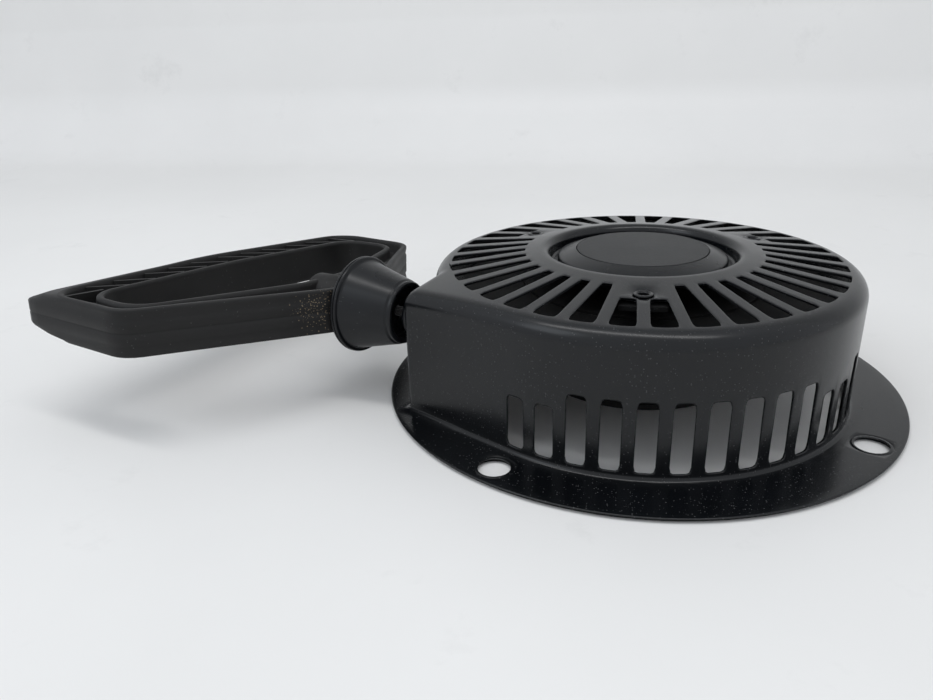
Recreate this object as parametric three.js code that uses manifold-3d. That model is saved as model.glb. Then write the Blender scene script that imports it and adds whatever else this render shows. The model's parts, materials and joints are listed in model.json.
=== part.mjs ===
// Recoil starter for a small engine: a pressed-steel fan housing with a rope pulley inside it, a rope
// that leaves through a side outlet, and a mitten-grip handle with a conical cup.
// Millimetres, +Z up. The parts are designed round the pulley's axis, with z = 0 at the underside of the
// mounting flange. The finished group is then moved so that its origin lies under the middle of its box.
import * as THREE from "three";
import { mergeVertices } from "three/addons/utils/BufferGeometryUtils.js";
import Module from "manifold-3d";

const wasm = await Module();
wasm.setup();

// ---- Driving dimensions ----
const GAP = 0.3; // clearance between pieces that touch on the real object
const SHEET = 1.2; // thickness of the pressed steel

const FLANGE_R = 95;
const WALL_R = 76; // outside of the drum wall
const SHOULDER_R = 6; // rolled edge between the wall and the top
const CROWN_Z = 53.2; // height of the top at the rim of its recess
const CONE_SLOPE = 0.1315; // fall of the top, per millimetre outwards
const RECESS_R = 33.5;
const RECESS_Z = 47.6; // upper face of the recess floor
const RIM_R = 36.5; // where the cone meets the rolled rim of the recess

const HOLE_R = 5.3; // mounting holes
const HOLE_PCR = 86.5;
const HOLE_ANGLES = [-120, -30, 60, 150];

const TOP_SLOTS = 36;
const BAR_WIDTH = 4.1;
const SLOT_INNER_R = 42.8;
const SLOT_OUTER_R = 70.2;
const SHORT_INNER_R = 52; // slots beside a rivet start further out
const RIVET_R = 48.2; // distance of the hub rivets from the axis
const RIVET_ANGLES = [-90, 30, 150];

const SIDE_SLOTS = 45;
const SIDE_FIRST = -120; // degrees, the slot next to the rope outlet
const SIDE_WIDTH = 6.4;
const SIDE_LOW_Z = 3.6;
const SIDE_TALL_Z = 27.2;
const SIDE_SHORT_Z = 21.6;
const BLIND_SLOTS = [39, 40, 41, 42, 43, 44]; // places taken by the rope outlet

const ROPE_ANGLE = 159; // direction in which the rope leaves, in degrees from +X
const ROPE_OFFSET = 56; // distance of the rope's line from the axis
const ROPE_Z = 34.5;
const ROPE_R = 1.9;
const OUTLET_END = 60.8; // distance of the outlet's end wall along the rope
const OUTLET_HOLE_R = 6;

const CUP_START = 66.2; // small end of the cup, along the rope
const CUP_LENGTH = 21.8;
const CUP_SMALL_R = 11.9;
const CUP_LARGE_R = 16.8;
const CUP_LIP_R = 17.9;
const CUP_WALL = 2;

const GRIP_START = CUP_START + CUP_LENGTH + GAP;
const GRIP_ROLL = 5.2; // degrees, turn of the grip about the rope
const GRIP_HALF = 8.2; // half the grip's thickness
const GRIP_EDGE = 4.2; // half the thickness of its outer edge
const PALM_BULGE = 11; // how far the palm bar's outer face stands out past its rim

const POST_R = 9;
const POST_NOSE_R = 5.5;
const DRUM_R = 46; // bottom of the rope groove
const PULLEY_R = 66;
const GROOVE_LOW_Z = 29.5;
const GROOVE_HIGH_Z = 39.5;
const SPRING_BAY_R = 43.5; // the spring's bay in the top of the drum
const SPRING_BAY_Z = 28.5;
const CARRIER_R = 31;
const CARRIER_TOP_Z = 26;
const WOUND_R = 53.7;
const DOG_PIVOT_R = 27;
const DOG_ANGLES = [20, 200];
const DOG_REACH = 29;
const RETAINER_R = 38;

const MATERIALS = {
  black_paint: new THREE.MeshStandardMaterial({ color: 0x2a2d30, roughness: 0.4, metalness: 0.1 }),
  satin_plastic: new THREE.MeshStandardMaterial({ color: 0x33363a, roughness: 0.45 }),
  textured_plastic: new THREE.MeshStandardMaterial({ color: 0x505254, roughness: 0.8 }),
  grip_rubber: new THREE.MeshStandardMaterial({ color: 0x262626, roughness: 0.75 }),
  pulley_nylon: new THREE.MeshStandardMaterial({ color: 0x191919, roughness: 0.6 }),
  spring_steel: new THREE.MeshStandardMaterial({ color: 0x6b6c70, roughness: 0.35, metalness: 0.9 }),
  zinc_steel: new THREE.MeshStandardMaterial({ color: 0xa9a79c, roughness: 0.4, metalness: 0.9 }),
  rope_fibre: new THREE.MeshStandardMaterial({ color: 0xb9a884, roughness: 0.9 }),
};

// ---- Helpers ----
const rad = THREE.MathUtils.degToRad;
const polar = (r, degrees) => [r * Math.cos(rad(degrees)), r * Math.sin(rad(degrees))];
const angleBetween = (a, b) => Math.abs(((a - b + 540) % 360) - 180);
const coneZ = (r) => CROWN_Z - CONE_SLOPE * (r - RIM_R); // height of the cone at radius r

function toSolid(geometry) {
  const bare = geometry.clone();
  bare.deleteAttribute("normal");
  bare.deleteAttribute("uv");
  const merged = mergeVertices(bare, 1e-4);
  return new wasm.Manifold(
    new wasm.Mesh({
      numProp: 3,
      vertProperties: new Float32Array(merged.attributes.position.array),
      triVerts: new Uint32Array(merged.index.array),
    }),
  );
}

function toGeometry(solid) {
  const { vertProperties, triVerts } = solid.getMesh();
  const geometry = new THREE.BufferGeometry();
  geometry.setAttribute("position", new THREE.BufferAttribute(vertProperties, 3));
  geometry.setIndex(new THREE.BufferAttribute(triVerts, 1));
  geometry.computeVertexNormals();
  return geometry;
}

const joined = (solids) => solids.reduce((a, b) => a.add(b));

// A solid of revolution about Z. The profile is a list of [radius, z], anticlockwise, on the axis at both
// ends or closed on itself.
function revolved(profile, segments = 40) {
  const points = profile.map(([r, z]) => new THREE.Vector2(r, z));
  return new THREE.LatheGeometry(points, segments).rotateX(Math.PI / 2);
}

// A ring or tube of rectangular section about Z.
function ring(inner, outer, low, high, segments = 32) {
  const section = [[inner, low], [outer, low], [outer, high], [inner, high], [inner, low]];
  return revolved(section, segments);
}

function disc(radius, low, high, segments = 32) {
  return revolved([[0, low], [radius, low], [radius, high], [0, high]], segments);
}

// Points of an arc from one angle to another, both included.
function arc(centre, radius, from, to, steps) {
  return Array.from({ length: steps + 1 }, (_, i) => {
    const [x, y] = polar(radius, from + ((to - from) * i) / steps);
    return [centre[0] + x, centre[1] + y];
  });
}

// A closed outline from corners [x, y, setback]: each corner with a setback is cut back and rounded.
function roundedShape(corners) {
  const shape = new THREE.Shape();
  corners.forEach(([x, y, setback], i) => {
    if (!setback) return i === 0 ? shape.moveTo(x, y) : shape.lineTo(x, y);
    const corner = new THREE.Vector2(x, y);
    const toward = ([px, py]) => new THREE.Vector2(px, py).sub(corner).setLength(setback).add(corner);
    const start = toward(corners.at(i - 1));
    const end = toward(corners[(i + 1) % corners.length]);
    if (i === 0) shape.moveTo(start.x, start.y);
    else shape.lineTo(start.x, start.y);
    shape.quadraticCurveTo(x, y, end.x, end.y);
  });
  return shape;
}

function prism(shape, low, high, curveSegments = 3) {
  const options = { depth: high - low, bevelEnabled: false, curveSegments };
  return new THREE.ExtrudeGeometry(shape, options).translate(0, 0, low);
}

const polygon = (points) => new THREE.Shape(points.map(([x, y]) => new THREE.Vector2(x, y)));

// A closed skin through rings of equal length, flat at both ends. Each ring is { shape, z }, low to high.
function lofted(rings, curveSegments) {
  const outlines = rings.map(({ shape }) => shape.getPoints(curveSegments));
  const count = outlines[0].length;
  const points = outlines.flatMap((outline, k) => outline.map((p) => [p.x, p.y, rings[k].z]));
  const faces = [];
  for (let k = 0; k < rings.length - 1; k++) {
    for (let i = 0; i < count; i++) {
      const a = k * count + i;
      const b = k * count + ((i + 1) % count);
      faces.push([a, b, b + count], [a, b + count, a + count]);
    }
  }
  const top = (rings.length - 1) * count;
  for (const [a, b, c] of THREE.ShapeUtils.triangulateShape(outlines[0], [])) faces.push([c, b, a]);
  for (const [a, b, c] of THREE.ShapeUtils.triangulateShape(outlines.at(-1), [])) {
    faces.push([top + a, top + b, top + c]);
  }
  const geometry = new THREE.BufferGeometry();
  geometry.setAttribute("position", new THREE.Float32BufferAttribute(points.flat(), 3));
  geometry.setIndex(faces.flat());
  return geometry;
}

// A round bar through a list of points.
function bar(points, radius, steps, sides = 8) {
  const curve = new THREE.CatmullRomCurve3(points.map((p) => new THREE.Vector3(...p)));
  const circle = polygon(arc([0, 0], radius, 0, 360 - 360 / sides, sides - 1));
  return new THREE.ExtrudeGeometry(circle, { steps, extrudePath: curve, curveSegments: 1 });
}

function piece(name, shape, material) {
  const geometry = shape.isBufferGeometry ? shape : toGeometry(shape);
  const mesh = new THREE.Mesh(geometry, MATERIALS[material]);
  mesh.name = name;
  return mesh;
}

// ---- Housing ----
// Outside of the pressing, or its inside when inset is the sheet's thickness, as a solid of revolution.
function drumProfile(inset) {
  const lean = THREE.MathUtils.radToDeg(Math.atan(CONE_SLOPE));
  const shoulder = [WALL_R - SHOULDER_R, coneZ(WALL_R - SHOULDER_R) - SHOULDER_R];
  const rim = [RECESS_R + 3, CROWN_Z - 3];
  const below = inset ? -1 : 0;
  const foot = inset
    ? [[WALL_R + 1.2 - inset, below], [WALL_R + 1.2 - inset, 0.4], [WALL_R - inset, 2.2]]
    : [[FLANGE_R, 0], [FLANGE_R, SHEET], [WALL_R + 2, SHEET], [WALL_R, 3.2]];
  return [
    [0, below],
    ...foot,
    ...arc(shoulder, SHOULDER_R - inset, 0, 90 - lean, 3),
    ...arc(rim, 3 - inset, 90 - lean, 180, 3).map(([r, z]) => [inset ? r + 2 * inset : r, z]),
    [RECESS_R + (inset ? inset : 0), RECESS_Z - inset],
    [0, RECESS_Z - inset],
  ];
}

// The rope outlet: a flat-sided box that leaves the drum at a tangent, ends square to the rope, and has
// the drum's rolled edge along its top.
function outletSolid(inset) {
  const outline = (back) => roundedShape([
    [4, 66],
    [4, 47],
    [OUTLET_END - 26, 31],
    [OUTLET_END - back, 39],
    [OUTLET_END - back, 66.3 - back * 1.15, 2],
    [10, 74 - back],
  ]);
  const roll = [[0, 41.5], [0.6, 44.2], [2, 46.3], [4.2, 47.7], [7, 54]];
  const rings = [
    { shape: outline(inset), z: inset ? -1 : 0 },
    ...roll.map(([back, z]) => ({ shape: outline(back + inset), z: z - inset })),
  ];
  const box = lofted(rings, 3).rotateZ(rad(ROPE_ANGLE));
  const sunk = inset + 0.08; // keeps the lid clear of the drum's own top
  const lid = revolved([[0, -2], [100, -2], [100, coneZ(100) - sunk], [0, coneZ(0) - sunk]], 72);
  return toSolid(box).intersect(toSolid(lid));
}

function topSlot(index) {
  const pitch = 360 / TOP_SLOTS;
  const middle = (index + 0.5) * pitch;
  const nearRivet = RIVET_ANGLES.some((angle) => angleBetween(angle, middle) < pitch);
  const inner = nearRivet ? SHORT_INNER_R : SLOT_INNER_R;
  const half = rad(pitch / 2);
  const offset = BAR_WIDTH / 2 / Math.cos(half);
  const edge = (r) => r * Math.tan(half) - offset;
  const outline = [
    [inner, -edge(inner), 0.8],
    [SLOT_OUTER_R, -edge(SLOT_OUTER_R), 2],
    [SLOT_OUTER_R, edge(SLOT_OUTER_R), 2],
    [inner, edge(inner), 0.8],
  ];
  return toSolid(prism(roundedShape(outline), 40, 60, 1).rotateZ(rad(middle)));
}

function sideSlot(index) {
  const high = index % 10 < 2 ? SIDE_SHORT_Z : SIDE_TALL_Z;
  const outline = [
    [-high, -SIDE_WIDTH / 2, 1.5],
    [-SIDE_LOW_Z, -SIDE_WIDTH / 2, 1.5],
    [-SIDE_LOW_Z, SIDE_WIDTH / 2, 1.5],
    [-high, SIDE_WIDTH / 2, 1.5],
  ];
  const slot = prism(roundedShape(outline), WALL_R - 4, WALL_R + 4, 1);
  return toSolid(slot.rotateY(Math.PI / 2).rotateZ(rad(SIDE_FIRST + index * 8)));
}

const alongRope = (geometry) =>
  geometry.rotateY(Math.PI / 2).translate(0, ROPE_OFFSET, ROPE_Z).rotateZ(rad(ROPE_ANGLE));

function housingShell() {
  const outside = toSolid(revolved(drumProfile(0), 72)).add(outletSolid(0));
  const inside = toSolid(revolved(drumProfile(SHEET), 72)).add(outletSolid(SHEET));
  const cuts = [];
  for (let i = 0; i < TOP_SLOTS; i++) cuts.push(topSlot(i));
  for (let i = 0; i < SIDE_SLOTS; i++) if (!BLIND_SLOTS.includes(i)) cuts.push(sideSlot(i));
  for (const angle of HOLE_ANGLES) {
    cuts.push(toSolid(disc(HOLE_R, -1, 3, 20).translate(...polar(HOLE_PCR, angle), 0)));
  }
  for (const angle of RIVET_ANGLES) {
    cuts.push(toSolid(disc(2.9, 44, 60, 12).translate(...polar(RIVET_R, angle), 0)));
  }
  cuts.push(toSolid(alongRope(disc(OUTLET_HOLE_R, 50, 75, 16))));
  return cuts.reduce((shell, cut) => shell.subtract(cut), outside.subtract(inside));
}

// A smooth cap in the recess: a flat top, a sloping band and a skirt that stands on the recess floor.
function centerCap() {
  const low = RECESS_Z + GAP;
  return revolved([[0, low], [30.6, low], [30.6, 50.8], [24.9, 52.9], [24.4, 52.5], [0, 52.5]], 48);
}

const capDisc = () => disc(24, 52.5 + GAP, 53.4, 48);

// ---- Hub ----
// Three arms that carry the centre post: flat in the middle, stepped up to the rivets.
function spiderPlate() {
  const dish = revolved(
    [[0, 44.6], [35.5, 44.6], [39.5, 47.4], [54, 47.4], [54, 48.9], [38.9, 48.9], [34.9, 46.1], [0, 46.1]],
    36,
  );
  const arms = RIVET_ANGLES.map((a) => toSolid(new THREE.BoxGeometry(56, 15, 10)
    .translate(28, 0, 47).rotateZ(rad(a))));
  const plan = joined([toSolid(disc(24, 42, 52, 36)), ...arms]);
  const holes = joined([...RIVET_ANGLES.map((a) =>
    toSolid(disc(2.9, 44, 60, 12).translate(...polar(RIVET_R, a), 0))), toSolid(disc(5.3, 40, 60, 20))]);
  return toSolid(dish).intersect(plan).subtract(holes);
}

// A tubular rivet with a low rolled head on the housing and a flared foot under the arm.
function hubRivet(angle) {
  const headZ = coneZ(RIVET_R) + GAP;
  const section = [
    [1.8, 46.2], [3.6, 46.2], [3.6, 47.1], [2.5, 47.1], [2.5, headZ + 0.1], [3.7, headZ + 0.2],
    [3.4, headZ + 0.9], [2.4, headZ + 1.1], [1.8, headZ + 0.6], [1.8, 46.2],
  ];
  return revolved(section, 12).translate(...polar(RIVET_R, angle), 0);
}

function centerPost() {
  const section = [
    [3.4, 4.9], [POST_NOSE_R, 4.9], [POST_NOSE_R, 8.2], [POST_R, 8.2], [POST_R, 44.3], [5, 44.3],
    [5, 46.4 - GAP], [3.4, 46.4 - GAP], [3.4, 4.9],
  ];
  return revolved(section, 32);
}

// ---- Pulley ----
function pulley() {
  const section = [
    [POST_R + GAP, CARRIER_TOP_Z + GAP], [CARRIER_R, CARRIER_TOP_Z + GAP], [PULLEY_R, 28],
    [PULLEY_R, GROOVE_LOW_Z], [DRUM_R, GROOVE_LOW_Z], [DRUM_R, GROOVE_HIGH_Z], [PULLEY_R, GROOVE_HIGH_Z],
    [PULLEY_R, 41], [SPRING_BAY_R, 41], [SPRING_BAY_R, SPRING_BAY_Z], [14, SPRING_BAY_Z], [14, 43.3],
    [POST_R + GAP, 43.3], [POST_R + GAP, CARRIER_TOP_Z + GAP],
  ];
  const pocket = toSolid(new THREE.BoxGeometry(9.5, 11, 8).translate(DRUM_R - 1.4, 0, ROPE_Z));
  return toSolid(revolved(section)).subtract(pocket);
}

// The block under the pulley that carries the posts of the two dogs.
function dogCarrier() {
  const block = toSolid(ring(POST_R + GAP, CARRIER_R, 17, CARRIER_TOP_Z, 40));
  const posts = DOG_ANGLES.map((a) => toSolid(disc(3, 8.3, 18, 14).translate(...polar(DOG_PIVOT_R, a), 0)));
  return joined([block, ...posts]);
}

// The rope's inner end, knotted in its pocket in the drum.
const pulleyKnot = () => new THREE.SphereGeometry(3.6, 10, 8).translate(DRUM_R - 1.8, 0, ROPE_Z);

const woundRope = () => ring(DRUM_R + 1.7 + GAP, WOUND_R, GROOVE_LOW_Z + GAP, GROOVE_HIGH_Z - GAP);

// A flat steel strip wound in a spiral, with clearance between its turns.
function rewindSpring() {
  const turns = 3.5;
  const inner = 17;
  const outer = 42;
  const strip = 1.6;
  const steps = 72;
  const side = (shift) => Array.from({ length: steps + 1 }, (_, i) => {
    const t = i / steps;
    return polar(inner + (outer - inner) * t + shift, 360 * turns * t);
  });
  return prism(polygon([...side(strip / 2), ...side(-strip / 2).reverse()]), SPRING_BAY_Z + GAP, 40, 1);
}

const springKeeper = () => ring(15, SPRING_BAY_R - GAP, 40 + GAP, 41.6);

// ---- Starter dogs ----
// A dog swings on its post; its tip points ahead in the sense in which the rope turns the pulley.
function starterDog(angle) {
  const body = [
    [-5.6, -2, 3], [-3, 5.6, 3], [5.6, 3, 3], [6, -DOG_REACH * 0.55, 6], [1.5, -DOG_REACH, 1],
    [-4.8, -DOG_REACH + 1, 1], [-3, -DOG_REACH * 0.5, 6],
  ];
  const dog = toSolid(prism(roundedShape(body), 8.6, 14, 2)).subtract(toSolid(disc(3.3, 8, 15, 14)));
  return toGeometry(dog).rotateZ(rad(-15)).translate(DOG_PIVOT_R, 0, 0).rotateZ(rad(angle));
}

const dogSpring = (angle) => ring(3.3, 4.8, 14.3, 16.7, 16).translate(...polar(DOG_PIVOT_R, angle), 0);

// A dished disc that works the dogs through two windows.
function dogRetainer() {
  const windows = DOG_ANGLES.map((a) => {
    const outline = [...arc([0, 0], 33, a - 75, a + 12, 6), ...arc([0, 0], 17, a + 12, a - 75, 6)];
    return toSolid(prism(polygon(outline), 4, 9, 1));
  });
  const plate = toSolid(ring(POST_NOSE_R + GAP, RETAINER_R, 5.8, 7.8, 40));
  return windows.reduce((a, b) => a.subtract(b), plate);
}

// ---- Fastening at the foot of the post ----
const thrustWasher = () => ring(POST_R + GAP, 13.5, 43.55, 44.3);
const brakeSpring = () => ring(6.4, 10.5, 4.9, 5.5);
const brakeWasher = () => ring(3.4, 12, 3.8, 4.6);

function centerScrew() {
  const head = toSolid(disc(6.6, 0.9, 3.5, 6));
  return head.add(toSolid(disc(3, 3, 24, 16)));
}

// ---- Rope outlet, cup and handle: local +X runs out along the rope ----
const onX = (geometry) => geometry.rotateY(Math.PI / 2);

// A hard bushing that lines the outlet's hole.
function ropeEyelet() {
  const face = OUTLET_END + GAP;
  const section = [
    [2.6, face - 7], [5.7, face - 7], [5.7, face], [7.8, face], [7.8, face + 2.2], [6.4, face + 3.4],
    [3.6, face + 3.4], [2.6, face + 2.4], [2.6, face - 7],
  ];
  return onX(revolved(section, 24));
}

function ropeStrand() {
  const end = GRIP_START + 12;
  return bar([[2, 0, 0], [end / 2, 0, 0], [end, 0, 0]], ROPE_R, 14);
}

// A cone, open at both ends, with a web inside that the rope passes through.
function handleCup() {
  const end = CUP_START + CUP_LENGTH;
  const web = CUP_START + 6;
  const section = [
    [2.4, web], [CUP_SMALL_R - CUP_WALL, web], [CUP_SMALL_R - CUP_WALL, CUP_START],
    [CUP_SMALL_R, CUP_START], [CUP_LARGE_R, end - 2.6], [CUP_LIP_R, end - 2.4], [CUP_LIP_R, end],
    [CUP_LARGE_R - CUP_WALL, end], [CUP_SMALL_R - CUP_WALL + 1.8, web + 2], [2.4, web + 2], [2.4, web],
  ];
  return onX(revolved(section, 32));
}

// Outline of the grip in its own plane: x from the cup to the palm bar, y across. The palm bar is moved
// out by bulge.
function gripOutline(bulge) {
  return roundedShape([
    [0.2, -13, 4], [33, -75, 10], [75 + bulge, -76, 12], [84 + bulge * 0.7, 0, 50],
    [75 + bulge, 77, 10], [35, 77, 10], [0.2, 13, 4],
  ]);
}

function fingerHole() {
  return roundedShape([
    [18.5, -12, 6], [38, -65, 10], [63, -64, 10], [67, 0, 40], [63, 65, 9], [42, 66, 9], [18.5, 14, 6],
  ]);
}

function handleGrip() {
  const body = lofted([
    { shape: gripOutline(0), z: -GRIP_HALF },
    { shape: gripOutline(PALM_BULGE), z: -GRIP_EDGE },
    { shape: gripOutline(PALM_BULGE), z: GRIP_EDGE },
    { shape: gripOutline(0), z: GRIP_HALF },
  ], 4);
  const hole = toSolid(prism(fingerHole(), -12, 12, 4));
  const boss = toSolid(onX(revolved([[0, 14], [8.4, 14], [7.2, 25], [0, 25]], 20)));
  const bore = toSolid(onX(disc(2.4, -2, 30, 12)));
  const pocket = toSolid(onX(disc(5.2, 15, 30, 16)));
  return toSolid(body).subtract(hole).add(boss).subtract(bore).subtract(pocket);
}

const ropeKnot = () => new THREE.SphereGeometry(4.2, 12, 10).translate(20.2, 0, 0);

// ---- Assembly ----
function buildStarter() {
  const starter = new THREE.Group();
  starter.add(
    piece("housing_shell", housingShell(), "black_paint"),
    piece("center_cap", centerCap(), "satin_plastic"),
    piece("cap_disc", capDisc(), "textured_plastic"),
    piece("spider_plate", spiderPlate(), "black_paint"),
    piece("center_post", centerPost(), "zinc_steel"),
    piece("pulley", pulley(), "pulley_nylon"),
    piece("dog_carrier", dogCarrier(), "pulley_nylon"),
    piece("pulley_knot", pulleyKnot(), "rope_fibre"),
    piece("wound_rope", woundRope(), "rope_fibre"),
    piece("rewind_spring", rewindSpring(), "spring_steel"),
    piece("spring_keeper", springKeeper(), "zinc_steel"),
    piece("dog_retainer", dogRetainer(), "black_paint"),
    piece("thrust_washer", thrustWasher(), "spring_steel"),
    piece("brake_spring", brakeSpring(), "spring_steel"),
    piece("brake_washer", brakeWasher(), "zinc_steel"),
    piece("center_screw", centerScrew(), "zinc_steel"),
  );
  RIVET_ANGLES.forEach((a, i) => starter.add(piece(`hub_rivet_${i + 1}`, hubRivet(a), "black_paint")));
  DOG_ANGLES.forEach((a, i) => {
    starter.add(piece(`starter_dog_${i + 1}`, starterDog(a), "zinc_steel"));
    starter.add(piece(`dog_spring_${i + 1}`, dogSpring(a), "spring_steel"));
  });

  const ropeLine = new THREE.Group();
  ropeLine.rotation.z = rad(ROPE_ANGLE);
  ropeLine.position.set(...polar(ROPE_OFFSET, ROPE_ANGLE + 90), ROPE_Z);
  ropeLine.add(
    piece("rope_eyelet", ropeEyelet(), "satin_plastic"),
    piece("rope_strand", ropeStrand(), "rope_fibre"),
    piece("handle_cup", handleCup(), "satin_plastic"),
  );
  const grip = new THREE.Group();
  grip.position.x = GRIP_START;
  grip.rotation.x = rad(GRIP_ROLL);
  grip.add(
    piece("handle_grip", handleGrip(), "grip_rubber"),
    piece("rope_knot", ropeKnot(), "rope_fibre"),
  );
  ropeLine.add(grip);
  starter.add(ropeLine);
  return starter;
}

const starter = buildStarter();
const bounds = new THREE.Box3().setFromObject(starter, true);
const middle = bounds.getCenter(new THREE.Vector3());
starter.position.set(-middle.x, -middle.y, -bounds.min.z);

export default starter;
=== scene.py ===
"""Recoil starter: finished surfaces and a plain studio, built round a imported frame."""

import json
import math
import random

import bmesh
import bpy
import numpy as np
from bpy.props import FloatProperty, FloatVectorProperty, IntProperty, PointerProperty
from mathutils import Matrix, Vector


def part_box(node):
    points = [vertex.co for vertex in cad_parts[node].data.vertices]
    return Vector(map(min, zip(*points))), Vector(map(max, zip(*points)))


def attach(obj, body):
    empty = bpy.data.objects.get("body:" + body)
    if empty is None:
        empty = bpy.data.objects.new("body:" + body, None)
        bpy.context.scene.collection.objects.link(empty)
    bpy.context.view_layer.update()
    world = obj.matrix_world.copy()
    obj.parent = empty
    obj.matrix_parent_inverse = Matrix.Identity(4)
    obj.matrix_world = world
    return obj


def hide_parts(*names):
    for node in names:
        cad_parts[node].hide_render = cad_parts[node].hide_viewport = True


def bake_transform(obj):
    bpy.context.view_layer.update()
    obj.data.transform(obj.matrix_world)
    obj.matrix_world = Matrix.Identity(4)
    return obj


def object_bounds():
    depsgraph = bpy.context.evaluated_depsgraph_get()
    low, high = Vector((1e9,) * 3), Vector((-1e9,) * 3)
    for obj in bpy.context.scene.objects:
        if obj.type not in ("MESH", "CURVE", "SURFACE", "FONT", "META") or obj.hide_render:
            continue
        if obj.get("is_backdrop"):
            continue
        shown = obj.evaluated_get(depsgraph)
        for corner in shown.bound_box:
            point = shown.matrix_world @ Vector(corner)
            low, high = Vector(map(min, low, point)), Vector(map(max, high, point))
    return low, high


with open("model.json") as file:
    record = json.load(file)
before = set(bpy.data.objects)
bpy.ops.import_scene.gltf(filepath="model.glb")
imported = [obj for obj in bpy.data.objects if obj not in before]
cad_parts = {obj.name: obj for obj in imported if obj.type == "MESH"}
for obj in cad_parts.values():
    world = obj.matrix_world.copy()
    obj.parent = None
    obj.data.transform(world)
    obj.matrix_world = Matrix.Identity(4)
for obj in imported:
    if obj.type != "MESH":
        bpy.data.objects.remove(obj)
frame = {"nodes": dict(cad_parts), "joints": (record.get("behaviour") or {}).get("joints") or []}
CAD_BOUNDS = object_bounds()

bl_info = {
    "name": "Recoil Starter",
    "version": (1, 0, 0),
    "blender": (4, 5, 0),
    "location": "View3D > Sidebar > Starter",
    "description": "Builds the visible pieces of a recoil starter and a studio round them",
    "category": "Object",
}

MM = 0.001


# ---- Places taken from the frame, in millimetres round the pulley's axis ----
def box_mm(node):
    low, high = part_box(node)
    return np.array(low) / MM, np.array(high) / MM


def extent_along(node, direction):
    """Lowest and highest reach of a node along a direction, in millimetres from the pulley's axis."""
    mesh = frame["nodes"][node].data
    points = np.empty(len(mesh.vertices) * 3)
    mesh.vertices.foreach_get("co", points)
    reach = (points.reshape(-1, 3) / MM - AXIS) @ direction
    return reach.min(), reach.max()


CAP_BOX = box_mm("cap_disc")
AXIS = np.array([*(CAP_BOX[0] + CAP_BOX[1])[:2] / 2, 0.0])
JOINTS = {joint["name"]: joint for joint in frame["joints"]}
ROPE_DIR = np.array(JOINTS["handle_pull"]["axis"], float)
ROPE_ANGLE = math.degrees(math.atan2(ROPE_DIR[1], ROPE_DIR[0]))
SIDE_DIR = np.array([-ROPE_DIR[1], ROPE_DIR[0], 0.0])
STRAND_BOX = box_mm("rope_strand")
STRAND_MIDDLE = (STRAND_BOX[0] + STRAND_BOX[1]) / 2 - AXIS
ROPE_Z = STRAND_MIDDLE[2]
ROPE_OFFSET = float(STRAND_MIDDLE @ SIDE_DIR)
STRAND_START, STRAND_END = extent_along("rope_strand", ROPE_DIR)
EYELET_START, EYELET_END = extent_along("rope_eyelet", ROPE_DIR)
CUP_START, CUP_END = extent_along("handle_cup", ROPE_DIR)
GRIP_START = extent_along("handle_grip", ROPE_DIR)[0]
CAP_LOW, CAP_HIGH = (box_mm("center_cap")[i][2] for i in (0, 1))
CAP_R = (box_mm("center_cap")[1] - box_mm("center_cap")[0])[0] / 2
FLANGE_R = (box_mm("housing_shell")[1] - box_mm("housing_shell")[0])[1] / 2
CROWN_Z = box_mm("housing_shell")[1][2]


def measure(name, description, default):
    return FloatProperty(name=name, description=description, default=default)


def hue(name, description, default):
    return FloatVectorProperty(name=name, description=description, subtype="COLOR", default=default)


class StarterSizes(bpy.types.PropertyGroup):
    """Sizes of the starter, in millimetres and degrees."""

    sheet: measure("Sheet", "Thickness of the pressed steel", 1.2)
    wall_r: measure("Drum radius", "Outside of the drum wall", 76.0)
    shoulder_r: measure("Shoulder", "Radius of the rolled top edge", 6.0)
    fold_r: measure("Fold", "Fillet between wall and flange", 1.6)
    cone_slope: measure("Cone slope", "Fall of the top, per unit outwards", 0.1315)
    top_slot_in: measure("Slot start", "Inner end of a long top slot", 42.8)
    top_slot_short: measure("Short slot start", "Inner end of a short slot", 52.0)
    top_slot_out: measure("Slot end", "Outer end of the top slots", 70.0)
    bar_width: measure("Bar", "Width of metal between top slots", 4.1)
    side_width: measure("Side slot", "Width of a side slot", 6.35)
    side_low: measure("Side slot foot", "Lower end of the side slots", 3.7)
    side_tall: measure("Tall slot", "Upper end of a tall side slot", 27.2)
    side_short: measure("Short slot", "Upper end of a short side slot", 21.6)
    hole_r: measure("Mounting hole", "Radius of a mounting hole", 5.2)
    hole_circle: measure("Hole circle", "Radius of the circle of holes", 86.5)
    grip_half: measure("Grip half", "Half the thickness of the grip", 8.2)
    grip_roll: measure("Grip roll", "Turn of the grip about the rope", 5.2)
    rib_count: IntProperty(name="Ribs", description="Diagonal ribs in one channel of the grip", default=12)
    rope_r: measure("Rope", "Radius of the rope", 1.9)


class StarterColours(bpy.types.PropertyGroup):
    """Main colours of the starter's finishes."""

    paint: hue("Paint", "Black paint of the housing", (0.0035, 0.0042, 0.0052))
    satin: hue("Satin", "Cup and cap", (0.0045, 0.0052, 0.0064))
    disc: hue("Disc", "Matte disc on the cap", (0.022, 0.0225, 0.023))
    rubber: hue("Rubber", "Grip", (0.0095, 0.0092, 0.0090))
    nylon: hue("Nylon", "Pulley", (0.006, 0.006, 0.006))
    rope: hue("Rope", "Braided rope", (0.018, 0.017, 0.016))
    dust: hue("Dust", "Fine dust", (0.30, 0.30, 0.30))
    sand: hue("Sand", "Sand by the handle's cup", (0.30, 0.23, 0.15))


def sizes():
    return bpy.context.scene.starter_sizes


def colours():
    return bpy.context.scene.starter_colours


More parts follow.
